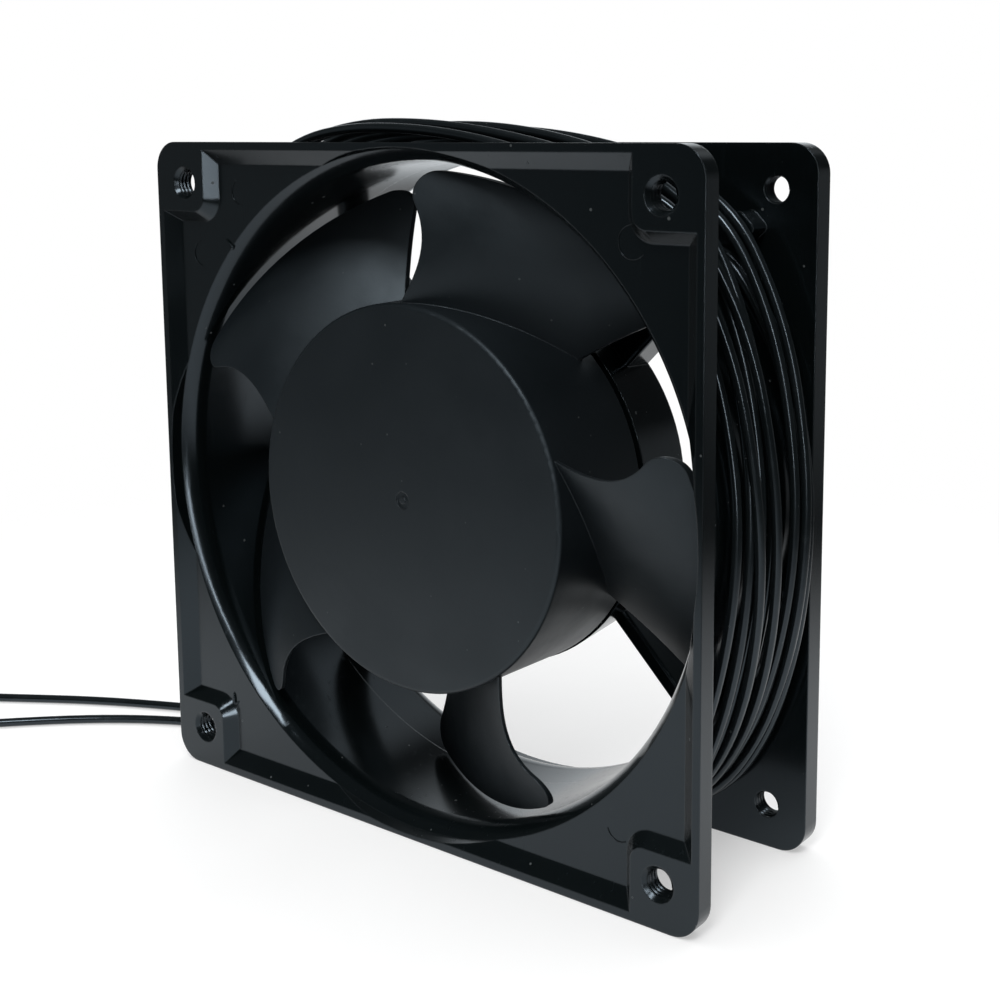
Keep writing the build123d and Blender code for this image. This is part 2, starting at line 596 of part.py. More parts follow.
# ================================================================ leads
lead_radial = Vector(cos(radians(LEAD_ANGLE)), 0, sin(radians(LEAD_ANGLE)))
lead_side = Vector(-sin(radians(LEAD_ANGLE)), 0, cos(radians(LEAD_ANGLE)))
SIDES = {"a": 1, "b": -1}


def lead_point(radius, side, y=LEAD_Y):
    """Point on a lead's own line beside the radius at LEAD_ANGLE."""
    return Vector(0, y, AXIS_Z) + lead_radial * radius + lead_side * (side * LEAD_SPACE / 2)


for name, side in SIDES.items():
    with BuildPart() as lead_inner:
        with BuildSketch(Plane(origin=lead_point(SPLICE_END_R, side), z_dir=lead_radial)):
            Circle(LEAD_D / 2)
        extrude(amount=DUCT_R - SPLICE_END_R)
    save(lead_inner, f"lead_{name}_inner")
    with BuildPart() as splice:
        with BuildSketch(Plane(origin=lead_point(SPLICE_START_R, side), z_dir=lead_radial)):
            Circle(LEAD_SPACE / 2 - FIT)
        extrude(amount=SPLICE_END_R - SPLICE_START_R)
    save(splice, f"splice_sleeve_{name}")
    # the motor's own wire: back through the base plate, then out to the splice
    with BuildPart() as coil_lead:
        x, z = polar(PASSAGE_R, LEAD_ANGLE + PASSAGE_ANGLE * side)
        foot = Vector(x, LEAD_Y, AXIS_Z + z)
        end = lead_point(SPLICE_START_R - 0.1, side)
        with BuildLine():
            route = FilletPolyline(foot - Vector(0, LEAD_Y - 3.9, 0), foot, end, radius=1.5)
        with BuildSketch(Plane(origin=route @ 0, z_dir=route % 0)):
            Circle(0.5)
        sweep(path=route)
    save(coil_lead, f"coil_lead_{name}")

with BuildPart() as lead_grommet:
    with BuildSketch(spoke(LEAD_ANGLE).offset(THROAT_R - 1.2)):
        with Locations((LEAD_Y, 0)):
            SlotOverall(CHANNEL_WIDTH - 2 * FIT, 2.5, rotation=90)
        with Locations((LEAD_Y, LEAD_SPACE / 2), (LEAD_Y, -LEAD_SPACE / 2)):
            Circle(LEAD_D / 2 + FIT / 2, mode=Mode.SUBTRACT)
    extrude(amount=DUCT_R - THROAT_R + 1.2)
save(lead_grommet, "lead_grommet")

# the outer shape of both leads wound round the duct
with BuildPart() as lead_winding:
    with BuildSketch(facing(WIND_HALF_Y)):
        with BuildLine():
            right = (WIND_FLAT, -WIND_FLOOR)
            left = (-WIND_FLAT, -WIND_FLOOR)
            Spline(right, *[polar(r, a) for a, r in WIND_LOOP], left)
            Line(left, right)
        make_face()
        Circle(WIND_IN_R, mode=Mode.SUBTRACT)
    extrude(amount=2 * WIND_HALF_Y)
    # the turns pass in front of the lug
    with BuildSketch(facing(WIND_HALF_Y + 1)):
        with Locations(polar(LUG_R, LUG_ANGLE)):
            Rectangle(8.4, 4.4, rotation=LUG_ANGLE - 90)
    extrude(amount=WIND_HALF_Y + 1 - (REAR_BACK_Y - LUG_LENGTH - 0.2), mode=Mode.SUBTRACT)
save(lead_winding, "lead_winding")


def arc_radii(points):
    """The largest arcs that the runs on each side of a corner leave room for."""
    radii = []
    for before, here, after in zip(points, points[1:], points[2:]):
        turn = (here - before).get_angle(after - here)
        shorter = min((here - before).length, (after - here).length)
        radii.append(0.45 * shorter / tan(radians(turn / 2)))
    return radii


for name, plan in TAILS.items():
    points = [Vector(x, y, FLOOR_Z) for x, y in plan]
    radii = arc_radii(points)
    with BuildPart() as tail:
        with BuildLine():
            route = FilletPolyline(*points, radius=radii)
        with BuildSketch(Plane(origin=route @ 0, z_dir=route % 0)):
            Circle(LEAD_D / 2)
        sweep(path=route)
    save(tail, f"lead_{name}_tail")
    with BuildPart() as tip:
        with BuildSketch(Plane(origin=route @ 1, z_dir=route % 1)):
            Circle(TIP_R)
        extrude(amount=TIP_LENGTH)
    save(tip, f"lead_{name}_tip")
    section = pi * (LEAD_D / 2) ** 2
    print(f"lead_{name}_tail: length {route.length:.1f} mm, arc radii",
          " ".join(f"{r:.0f}" for r in radii),
          f"volume {tail.part.volume:.1f} of {section * route.length:.1f} mm3")
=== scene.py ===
import json
import math
from itertools import combinations

import bmesh
import bpy
import numpy as np
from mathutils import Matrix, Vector


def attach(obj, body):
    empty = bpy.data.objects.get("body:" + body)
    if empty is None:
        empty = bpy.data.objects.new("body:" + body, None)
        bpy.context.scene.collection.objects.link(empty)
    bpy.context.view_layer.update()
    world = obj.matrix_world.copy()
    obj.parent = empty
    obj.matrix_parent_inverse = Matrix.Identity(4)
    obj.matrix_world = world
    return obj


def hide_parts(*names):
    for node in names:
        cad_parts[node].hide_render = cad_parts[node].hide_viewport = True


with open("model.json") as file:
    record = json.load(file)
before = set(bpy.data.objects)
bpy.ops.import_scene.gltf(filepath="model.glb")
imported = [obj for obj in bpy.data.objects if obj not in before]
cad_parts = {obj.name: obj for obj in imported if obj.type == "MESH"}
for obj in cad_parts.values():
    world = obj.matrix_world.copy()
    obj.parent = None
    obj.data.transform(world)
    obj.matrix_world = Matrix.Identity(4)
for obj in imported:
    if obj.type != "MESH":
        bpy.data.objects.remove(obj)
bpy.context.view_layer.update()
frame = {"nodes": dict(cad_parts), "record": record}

# The case fan's looks. Metres; millimetre figures are multiplied by MM.
MM = 0.001
AXIS_Z = 60.0            # height of the rotor axis, millimetres
nodes = frame["nodes"]


# ---------------------------------------------------------------- materials
class Look:
    """A procedural material, worked out in object coordinates (metres)."""

    def __init__(self, name):
        self.material = bpy.data.materials.new(name)
        self.material.use_nodes = True
        self.tree = self.material.node_tree
        self.tree.nodes.clear()
        out = self.tree.nodes.new("ShaderNodeOutputMaterial")
        self.shader = self.tree.nodes.new("ShaderNodeBsdfPrincipled")
        self.tree.links.new(self.shader.outputs["BSDF"], out.inputs["Surface"])
        self.place = self.tree.nodes.new("ShaderNodeTexCoord").outputs["Object"]
        self.normal = None

    def node(self, kind, inputs, **settings):
        made = self.tree.nodes.new(kind)
        for key, value in settings.items():
            setattr(made, key, value)
        for key, value in inputs.items():
            if isinstance(value, bpy.types.NodeSocket):
                self.tree.links.new(value, made.inputs[key])
            elif value is not None:
                made.inputs[key].default_value = value
        return made

    def mapped(self, scale=(1, 1, 1), shift=(0, 0, 0), turn=(0, 0, 0)):
        return self.node("ShaderNodeMapping", {"Vector": self.place, "Scale": scale,
                                               "Location": shift, "Rotation": turn}).outputs[0]

    def noise(self, scale, detail=2.0, rough=0.5, bent=0.0, at=None):
        return self.node("ShaderNodeTexNoise", {
            "Vector": at or self.place, "Scale": scale, "Detail": detail, "Roughness": rough,
            "Distortion": bent}).outputs["Fac"]

    def wave(self, scale, bent=0.0, at=None, **kind):
        return self.node("ShaderNodeTexWave", {
            "Vector": at or self.place, "Scale": scale, "Distortion": bent, "Detail": 2.0,
            "Detail Scale": 1.5}, **kind).outputs["Fac"]

    def math(self, operation, a, b=0.0, c=0.0):
        return self.node("ShaderNodeMath", {0: a, 1: b, 2: c}, operation=operation).outputs[0]

    def between(self, value, low, high, to_low=0.0, to_high=1.0):
        return self.node("ShaderNodeMapRange", {
            "Value": value, "From Min": low, "From Max": high, "To Min": to_low,
            "To Max": to_high}, clamp=True, interpolation_type="SMOOTHSTEP").outputs[0]

    def mix(self, share, a, b):
        made = self.tree.nodes.new("ShaderNodeMix")
        made.data_type = "RGBA"
        self.tree.links.new(share, made.inputs[0])
        for index, colour in ((6, a), (7, b)):
            if isinstance(colour, bpy.types.NodeSocket):
                self.tree.links.new(colour, made.inputs[index])
            else:
                made.inputs[index].default_value = (*colour, 1.0)
        return made.outputs[2]

    def over(self, colour, mask, share, tint):
        """A colour with a share of a second one laid on it where the mask is 1."""
        return self.mix(self.math("MULTIPLY", mask, share), colour, tint)

    def drift(self, scale, low, high, detail=3, rough=0.5):
        """A value that changes slowly from place to place between two limits."""
        return self.between(self.noise(scale, detail, rough), 0.3, 0.7, low, high)

    def specks(self, scale, size, share):
        """Small scattered dots: 1 inside a dot, 0 outside."""
        cells = self.node("ShaderNodeTexVoronoi", {"Vector": self.place, "Scale": scale,
                                                   "Randomness": 1.0})
        pick = self.node("ShaderNodeSeparateColor", {0: cells.outputs["Color"]}).outputs[0]
        grown = self.math("MULTIPLY", self.between(pick, 1.0 - share, 1.0), size)
        near = self.math("SUBTRACT", grown, cells.outputs["Distance"])
        return self.between(near, -0.3 * size, 0.1 * size)

    def radius(self):
        """Distance from the rotor axis, metres."""
        flat = self.mapped(scale=(1, 0, 1), shift=(0, 0, -AXIS_Z * MM))
        return self.node("ShaderNodeVectorMath", {0: flat}, operation="LENGTH").outputs["Value"]

    def rounded(self, width):
        """Softened edges; returns how near an edge is, 0 to 1."""
        soft = self.node("ShaderNodeBevel", {"Radius": width}, samples=4)
        self.normal = soft.outputs["Normal"]
        true_normal = self.node("ShaderNodeNewGeometry", {}).outputs["Normal"]
        along = self.node("ShaderNodeVectorMath", {0: self.normal, 1: true_normal},
                          operation="DOT_PRODUCT").outputs["Value"]
        return self.between(along, 0.995, 0.85)

    def bump(self, height, distance, strength=1.0):
        self.normal = self.node("ShaderNodeBump", {
            "Height": height, "Distance": distance, "Strength": strength,
            "Normal": self.normal}).outputs["Normal"]

    def done(self, colour, rough, **plain):
        for key, socket in (("Base Color", colour), ("Roughness", rough), ("Normal", self.normal)):
            self.tree.links.new(socket, self.shader.inputs[key])
        for key, value in plain.items():
            self.shader.inputs[key.replace("_", " ")].default_value = value
        return self.material


def moulding_gloss():
    """Polished black moulding: faint orange peel, dust, fine scuffs, painted highlight on edges.
    """
    look = Look("housing_gloss")
    edge = look.rounded(0.35 * MM)
    cloud = look.noise(38, 3)
    dust = look.specks(520, 0.13, 0.16)
    lint = look.specks(210, 0.06, 0.10)
    streaks = look.noise(900, 2, 0.6, at=look.mapped(scale=(1, 1, 0.06), turn=(0.3, 0.5, 0.9)))
    scuff = look.between(streaks, 0.62, 0.74)
    look.bump(look.noise(330, 2), 0.006 * MM, 0.6)
    look.bump(look.noise(2600, 2), 0.0012 * MM, 0.5)
    colour = look.mix(cloud, (0.0012, 0.0021, 0.0022), (0.0026, 0.0040, 0.0043))
    # painted highlight: the colour is lighter along every edge, standing in for rims catching the
    # light
    colour = look.over(colour, edge, 0.5, (0.030, 0.034, 0.036))
    colour = look.over(colour, look.math("MAXIMUM", dust, lint), 0.55, (0.11, 0.12, 0.12))
    rough = look.between(look.noise(24, 4, 0.6), 0.3, 0.75, 0.11, 0.24)
    rough = look.math("MULTIPLY_ADD", scuff, 0.10, rough)
    rough = look.math("MULTIPLY_ADD", dust, 0.35, rough)
    return look.done(colour, rough, IOR=1.47, Specular_Tint=(0.72, 0.87, 1.0, 1.0))


def moulding_satin():
    """Spark-textured charcoal moulding of the rotor, with faint flow rings from its gate."""
    look = Look("impeller_satin")
    edge = look.rounded(0.3 * MM)
    radius = look.radius()
    rings = look.wave(1.0, 1.2, at=look.node("ShaderNodeCombineXYZ", {
        "X": look.math("MULTIPLY", radius, 120.0)}).outputs[0])
    cloud = look.noise(45, 4, 0.6)
    dust = look.specks(640, 0.11, 0.10)
    look.bump(look.noise(1500, 3, 0.6), 0.016 * MM, 0.7)
    look.bump(rings, 0.010 * MM, 0.25)
    look.bump(look.noise(130, 2), 0.02 * MM, 0.3)
    colour = look.mix(cloud, (0.0046, 0.0064, 0.0077), (0.0074, 0.0098, 0.0116))
    # painted highlight: the colour is lighter along every edge, standing in for the glint on the
    # hub's rim
    colour = look.over(colour, edge, 0.45, (0.050, 0.056, 0.060))
    colour = look.over(colour, dust, 0.5, (0.10, 0.11, 0.11))
    rough = look.math("MULTIPLY_ADD", edge, -0.20, look.drift(60, 0.38, 0.50, 4, 0.6))
    return look.done(colour, rough, IOR=1.44, Specular_Tint=(0.74, 0.89, 1.0, 1.0))


def lead_pvc():
    """Satin black PVC: drawn streaks, small dents, a little powder."""
    look = Look("lead_pvc")
    streaks = look.noise(1900, 3, 0.6, 0.4)
    dents = look.noise(420, 2)
    powder = look.between(look.noise(240, 4, 0.7), 0.56, 0.78)
    dust = look.specks(900, 0.14, 0.14)
    look.bump(dents, 0.03 * MM, 0.35)
    look.bump(streaks, 0.005 * MM, 0.6)
    colour = look.mix(look.noise(90, 3), (0.0034, 0.0048, 0.0054), (0.0072, 0.0092, 0.0100))
    colour = look.over(colour, powder, 0.22, (0.045, 0.052, 0.054))
    colour = look.over(colour, dust, 0.35, (0.12, 0.13, 0.13))
    return look.done(colour, look.drift(150, 0.15, 0.25), IOR=1.5,
                     Specular_Tint=(0.72, 0.87, 1.0, 1.0))


def cover_paint():
    """Fine-textured black coating on the rear cover."""
    look = Look("cover_coating")
    edge = look.rounded(0.25 * MM)
    look.bump(look.noise(900, 3, 0.6), 0.05 * MM, 0.8)
    dust = look.specks(480, 0.14, 0.18)
    colour = look.mix(look.noise(60, 3), (0.012, 0.013, 0.014), (0.020, 0.021, 0.022))
    # painted highlight: the colour is lighter along every edge, standing in for rims catching the
    # light
    colour = look.over(colour, edge, 0.6, (0.07, 0.07, 0.07))
    colour = look.over(colour, dust, 0.5, (0.13, 0.13, 0.12))
    return look.done(colour, look.drift(300, 0.42, 0.6), IOR=1.5)


def label_foil():
    """Blank silver foil label with a dark printed border, a little wrinkled at its rim."""
    look = Look("blank_foil_label")
    radius = look.radius()
    wobble = look.math("MULTIPLY_ADD", look.noise(60, 2), 0.0004, -0.0002)
    at = look.math("ADD", radius, wobble)
    inner = look.math("MULTIPLY", look.between(radius, 18.6 * MM, 18.7 * MM),
                      look.between(radius, 19.3 * MM, 19.2 * MM))
    outer = look.math("MULTIPLY", look.between(radius, 20.0 * MM, 20.1 * MM),
                      look.between(radius, 20.9 * MM, 20.8 * MM))
    print_mask = look.math("MAXIMUM", inner, outer)
    wear = look.between(look.noise(900, 4, 0.7), 0.26, 0.40, 0.35, 1.0)
    brushed = look.noise(1500, 3, 0.6, at=look.mapped(scale=(0.03, 1, 1)))
    look.bump(brushed, 0.006 * MM, 0.6)
    look.bump(look.between(at, 19.6 * MM, 21.6 * MM), 0.05 * MM, 0.6)
    colour = look.mix(look.noise(160, 3), (0.50, 0.51, 0.52), (0.55, 0.56, 0.57))
    colour = look.over(colour, print_mask, wear, (0.02, 0.02, 0.022))
    return look.done(colour, look.drift(420, 0.34, 0.42), Metallic=0.85)


def metal(name, dark, light, rough, grain=900.0, tarnish=None, depth=0.01, turned=False):
    """Bare or plated metal with a fine or turned grain and cloudy tarnish."""
    look = Look(name)
    edge = look.rounded(0.15 * MM)
    if turned:
        rings = look.node("ShaderNodeCombineXYZ", {
            "X": look.math("MULTIPLY", look.radius(), 900.0)}).outputs[0]
        lines = look.wave(3.0, 2.0, at=rings)
    else:
        lines = look.noise(grain, 3, 0.6)
    look.bump(lines, depth * MM, 0.7)
    colour = look.mix(look.noise(150, 4, 0.6), dark, light)
    if tarnish:
        colour = look.mix(look.between(look.noise(210, 5, 0.7), 0.50, 0.75), colour, tarnish)
    # painted highlight: the colour is lighter along every edge, standing in for rims catching the
    # light
    colour = look.over(colour, edge, 0.4, tuple(1.25 * c for c in light))
    return look.done(colour, look.drift(260, rough, rough + 0.16, 4), Metallic=1.0)


def laminations():
    """Stacked electrical steel: one line for each 0.5 mm sheet."""
    look = Look("laminations")
    sheets = look.wave(100.0, 0.3, bands_direction="Y")
    look.bump(sheets, 0.06 * MM, 0.8)
    colour = look.mix(sheets, (0.10, 0.10, 0.105), (0.30, 0.30, 0.31))
    rust = look.between(look.noise(260, 4, 0.7), 0.52, 0.72)
    colour = look.mix(rust, colour, (0.12, 0.07, 0.04))
    return look.done(colour, look.drift(500, 0.35, 0.6), Metallic=0.9)


def winding_wire():
    """Rows of enamelled copper wire, coloured darker in the grooves between rows."""
    look = Look("enamelled_copper")
    rows = look.wave(290.0, 0.15, bands_direction="DIAGONAL", wave_profile="SIN")
    look.bump(rows, 0.12 * MM, 0.9)
    colour = look.mix(rows, (0.10, 0.028, 0.010), (0.50, 0.17, 0.055))
    colour = look.mix(look.between(look.noise(180, 3), 0.5, 0.8), colour, (0.22, 0.08, 0.03))
    return look.done(colour, look.drift(300, 0.22, 0.4), Metallic=0.6, Coat_Weight=0.5)


def soft_plastic(name, dark, light, rough, grain=700.0):
    """Nylon, sleeving or rubber: cloudy colour, fine grain, light dust."""
    look = Look(name)
    edge = look.rounded(0.15 * MM)
    look.bump(look.noise(grain, 3, 0.6), 0.03 * MM, 0.6)
    colour = look.mix(look.noise(140, 4, 0.6), dark, light)
    # painted highlight: the colour is lighter along every edge, standing in for rims catching the
    # light
    colour = look.over(colour, edge, 0.4, tuple(1.5 * c + 0.01 for c in light))
    colour = look.over(colour, look.specks(700, 0.12, 0.12), 0.4, (0.20, 0.20, 0.19))
    return look.done(colour, look.drift(220, rough, rough + 0.15))


LOOKS = {
    "housing_plastic": moulding_gloss(),
    "impeller_plastic": moulding_satin(),
    "cover_plate": cover_paint(),
    "blank_label": label_foil(),
    "lead_pvc": lead_pvc(),
    "lamination_steel": laminations(),
    "enamelled_copper": winding_wire(),
    "zinc_steel": metal("zinc_plating", (0.40, 0.41, 0.42), (0.56, 0.57, 0.57), 0.22, 1400,
                        tarnish=(0.30, 0.29, 0.26)),
    "painted_steel": soft_plastic("rotor_can_paint", (0.016, 0.017, 0.019), (0.03, 0.031, 0.033),
                                  0.42),
    "cast_aluminium": metal("die_cast_aluminium", (0.42, 0.43, 0.44), (0.60, 0.61, 0.62), 0.38,
                            500, tarnish=(0.33, 0.33, 0.33), depth=0.04),
    "bearing_steel": metal("ground_bearing_steel", (0.50, 0.50, 0.51), (0.66, 0.66, 0.67), 0.12,
                           turned=True, depth=0.004),
    "brass": metal("turned_brass", (0.50, 0.36, 0.14), (0.66, 0.50, 0.22), 0.20,
                   tarnish=(0.28, 0.18, 0.08), turned=True),
    "bare_copper": metal("bare_copper", (0.52, 0.23, 0.13), (0.70, 0.36, 0.22), 0.26, 800,
                         tarnish=(0.20, 0.09, 0.05)),
    "tinned_copper": metal("tinned_copper", (0.50, 0.50, 0.49), (0.68, 0.68, 0.67), 0.26, 1800,
                           tarnish=(0.36, 0.34, 0.30)),
    "nylon": soft_plastic("bobbin_nylon", (0.42, 0.40, 0.34), (0.55, 0.53, 0.46), 0.38),
    "sleeving": soft_plastic("fibre_sleeving", (0.30, 0.24, 0.10), (0.46, 0.38, 0.18), 0.5, 1500),
    "rubber": soft_plastic("grommet_rubber", (0.010, 0.010, 0.011), (0.019, 0.019, 0.020), 0.55),
}
slot_of = {part["node"]: part["material_slot"] for part in frame["record"]["subparts"]}


def finish_of(piece, slot):
    """Give a piece the look and the material slot of one kind of material."""
    piece.data.materials.clear()
    piece.data.materials.append(LOOKS[slot])


def mesh_piece(name, points, faces, slot, smooth=True):
    """A new mesh piece on the frame, from points in millimetres."""
    mesh = bpy.data.meshes.new(name)
    mesh.from_pydata([tuple(c * MM for c in p) for p in points], [], faces)
    mesh.validate()
    piece = bpy.data.objects.new(name, mesh)
    bpy.context.scene.collection.objects.link(piece)
    if smooth:
        mesh.shade_smooth()
    finish_of(piece, slot)
    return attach(piece, "frame")


def join_rows(faces, first, rows, across, closed=True):
    """Add the faces between rows of points that follow each other from index first."""
    for i in range(rows - 1):
        for j in range(across if closed else across - 1):
            p = first + across * i + j
            q = first + across * i + (j + 1) % across
            faces.append((p, q, q + across, p + across))


for name, node in nodes.items():
    finish_of(node, slot_of[name])

# ---------------------------------------------------------------- camera
CAMERA_AT = (0.1689, -0.1963, 0.1207)
LOOKS_DOWN = 8.18        # degrees below the horizon
TURNED = 35.65           # degrees from the view straight at the front
camera_data = bpy.data.cameras.new("camera")
camera_data.sensor_width = 36.0
camera_data.lens = 53.1
camera_data.shift_x = -0.10
camera_data.shift_y = -0.15
camera_data.clip_start = 0.01
camera = bpy.data.objects.new("camera", camera_data)
camera.location = CAMERA_AT
camera.rotation_euler = (math.radians(90 - LOOKS_DOWN), 0, math.radians(TURNED))
bpy.context.scene.collection.objects.link(camera)
bpy.context.scene.camera = camera

# ---------------------------------------------------------------- the two leads
LEAD_D = 1.7
DUCT_REST_R = 58.95      # a strand's centre when it lies on the duct
FLOOR_Z = 0.87           # centre height of a lead lying on the floor
EXIT_ANGLE = 45.0        # the leads come out of the duct at this angle, side by side
EXIT_Y = 13.15
INSIDE_R, RISEN_R = 57.0, 61.5           # a lead's first two points, inside the duct and out
RISEN_DY = {"a": 0.0, "b": -1.3}
SIDES = {"a": 1.0, "b": -1.0}            # how far each leaves to the side of that angle
STEPS = 36               # control points for each turn
LAST = 157               # the last control point of the wound part, at the bottom
HELD = 2                 # control points at the exit that don't move
NEAR = LEAD_D + 0.04     # the least distance between two strands' centres
SWEEPS = 110             # rounds of pushing strands apart
SMOOTHED = 80            # how many of them smooth the strands too
SMOOTHING = 0.3          # share of a push that is evened out with its neighbours
KEPT = 0.985             # share of a push that is kept from round to round
REACH_Y = (-12.6, 13.15)                 # the strands' room between the flanges
WAVER = 0.22             # a lead wavers this far along y
LOW_SINE = 0.2           # turns this far below the axis may meet the floor
LUG_ANGLE = 44.0         # the strands pass in front of the retaining lug, or under it
LUG_HALF_ANGLE = 7.0
LUG_UNDER_R = 63.6
LUG_FRONT_Y = 9.85
# outer edge of the loose turns, (angle, radius): they stand off at the frame's corners
LOOP = [(-180, 59.85), (-165, 61.2), (-148, 66.0), (-133, 70.0), (-123, 70.3), (-110, 63.6),
        (-90, 60.0), (-70, 63.6), (-57, 70.4), (-50, 71.2), (-40, 68.8), (-29, 65.6),
        (-13, 62.6), (0, 61.5), (15, 62.7), (32, 66.1), (46, 69.2), (65, 65.8), (80, 63.6),
        (95, 64.6), (107, 66.9), (118, 69.4), (135, 69.2), (150, 65.4), (165, 61.2), (180, 59.85)]
# lanes: (degrees wound so far, y, slack from 0 on the duct to 1 at the loop's edge)
LANES = {
    "a": [(0, 13.15, 0.3), (20, 12.9, 0.5), (45, 12.7, 0.8), (90, 12.5, 0.97), (135, 12.4, 0),
          (180, 11.8, 0.9), (225, 11.4, 0.5), (270, 11.4, 0.9), (315, 11.8, 0.6),
          (345, 10.9, 0.97), (361, 9.8, 1.0), (380, 11.0, 0.98), (405, 11.4, 0.8),
          (450, 9.6, 0.9), (495, 8.4, 0), (540, 7.0, 0.85), (585, 6.0, 0.5), (630, 5.0, 0.8),
          (675, 4.2, 0.85), (720, 3.6, 0.85), (765, 2.8, 0.05), (810, 2.2, 0.8), (855, 1.7, 0),
          (900, 0.4, 0.8), (945, -0.8, 0.5), (990, -1.8, 0.9), (1035, -3.0, 0.6),
          (1080, -3.8, 0.7), (1125, -4.6, 0.45), (1170, -5.6, 0.9), (1215, -6.6, 0),
          (1260, -7.4, 0.85), (1305, -8.2, 0.6), (1350, -8.6, 0.85), (1388, -8.4, 0.95),
          (1410, -7.4, 0.55), (1430, -5.2, 0.85), (1455, -1.6, 1.0), (1485, 1.9, 0.95),
          (1520, 3.6, 0.9), (1575, 4.0, 0)],
    "b": [(0, 11.9, 0.3), (20, 11.2, 0.4), (45, 10.9, 0.6), (90, 10.6, 0.85), (135, 10.5, 0),
          (180, 9.9, 0.85), (225, 9.6, 0.5), (270, 9.6, 0.8), (315, 10.0, 0.3),
          (345, 9.2, 0.85), (361, 8.5, 0.85), (380, 8.9, 0.8), (405, 9.0, 0.5),
          (450, 7.4, 0.8), (495, 6.3, 0), (540, 4.8, 0.8), (585, 3.4, 0.5), (630, 1.9, 0.9),
          (675, 0.5, 0.4), (720, -0.4, 0.8), (765, -1.4, 0.3), (810, -2.4, 0.85), (855, -3.4, 0),
          (900, -4.2, 0.9), (945, -4.8, 0.5), (990, -5.4, 0.8), (1035, -5.9, 0.9),
          (1080, -6.8, 0.55), (1125, -7.8, 0.1), (1170, -8.8, 0.8), (1215, -9.4, 0),
          (1260, -10.4, 0.9), (1305, -11.2, 0.5), (1350, -11.8, 0.95), (1388, -11.9, 0.8),
          (1410, -11.5, 0.45), (1430, -10.2, 0.8), (1455, -7.4, 1.0), (1485, -4.2, 0.9),
          (1520, -1.9, 0.85), (1575, -1.0, 0)],
}
# the tails' routes over the floor, (x, y)
TAILS = {
    "a": [(-9, 4.0), (-27, 5.2), (-45, 4.6), (-62, 1.8), (-78, -4.2), (-96, -12.6),
          (-113, -23.0), (-129, -33.0), (-143, -39.6), (-158, -44.2)],
    "b": [(-9, -1.0), (-26, -0.1), (-42, -0.7), (-58, -3.6), (-73, -9.6), (-87, -18.4),
          (-101, -31.0), (-112, -43.0), (-124, -53.0), (-138, -60.2)],
}


def push_apart(one, other, one_held, other_held):
    """Move two control points of the same station apart if they are too near."""
    dy, dr = other[1] - one[1], other[2] - one[2]
    gap = math.hypot(dy, dr)
    if gap >= NEAR:
        return
    if gap < 1e-6:
        dy, dr, gap = 0.0, 1e-3, 1e-3
    push = 0.5 * (NEAR - gap) / gap
    for point, way, held, opposite_held in ((one, -1, one_held, other_held),
                                            (other, 1, other_held, one_held)):
        share = way * push * (1 - held) * (1 + opposite_held)
        point[1] += dy * share
        point[2] += dr * share


def laid_out(lane, order):
    """A lead's control points before they are pushed: angle, y, radius, largest radius."""
    k = np.arange(LAST + 1)
    step = 360.0 / STEPS
    angle = EXIT_ANGLE - step * k
    around = (angle + 180.0) % 360.0 - 180.0
    edge = np.interp(around, *np.array(LOOP).T) - LEAD_D / 2
    sine = np.sin(np.radians(angle))
    floor = np.where(sine < -LOW_SINE, (AXIS_Z - FLOOR_Z) / np.maximum(-sine, LOW_SINE), np.inf)
    edge = np.minimum(edge, floor)
    kernel = np.hanning(7)[1:-1]
    kernel /= kernel.sum()
    turn, y, slack = np.array(lane).T
    y = np.interp(step * k, turn, y)
    slack = np.interp(step * k, turn, slack)
    for line in (y, slack):
        line[3:-3] = np.convolve(np.pad(line, 2, mode="edge"), kernel, "valid")[3:-3]
    y = y + WAVER * np.sin(0.41 * k + 2.1 * order) * (k > 2) * (k < LAST - 3)
    radius = DUCT_REST_R + slack * np.maximum(edge - DUCT_REST_R, 0)
    return np.stack([angle, y, radius, np.maximum(edge, DUCT_REST_R)], 1)


def wound():
    """Control points of both wound leads, pushed apart until they only touch."""
    strands = {name: laid_out(LANES[name], order) for order, name in enumerate(sorted(LANES))}
    stations = [[(name, i) for name in sorted(strands) for i in range(first, LAST + 1, STEPS)]
                for first in range(STEPS)]
    aim = {name: strand[:, 1:3].copy() for name, strand in strands.items()}
    for sweep in range(SWEEPS):
        for station in stations:
            for (name_p, i), (name_q, j) in combinations(station, 2):
                push_apart(strands[name_p][i], strands[name_q][j], i < HELD, j < HELD)
        for name, strand in strands.items():
            if sweep < SMOOTHED:
                pushed = strand[:, 1:3] - aim[name]
                beside = 0.5 * (pushed[1:-3] + pushed[3:-1])
                pushed[2:-2] += SMOOTHING * (beside - pushed[2:-2])
                strand[:, 1:3] = aim[name] + KEPT * pushed
            strand[:, 1] = np.clip(strand[:, 1], *REACH_Y)
            strand[:, 2] = np.clip(strand[:, 2], DUCT_REST_R, strand[:, 3] + 0.15)
            from_lug = (strand[:, 0] - LUG_ANGLE + 180.0) % 360.0 - 180.0
            by_lug = (np.abs(from_lug) < LUG_HALF_ANGLE) & (strand[:, 2] > LUG_UNDER_R)
            strand[by_lug, 1] = np.minimum(strand[by_lug, 1], LUG_FRONT_Y)
    return strands


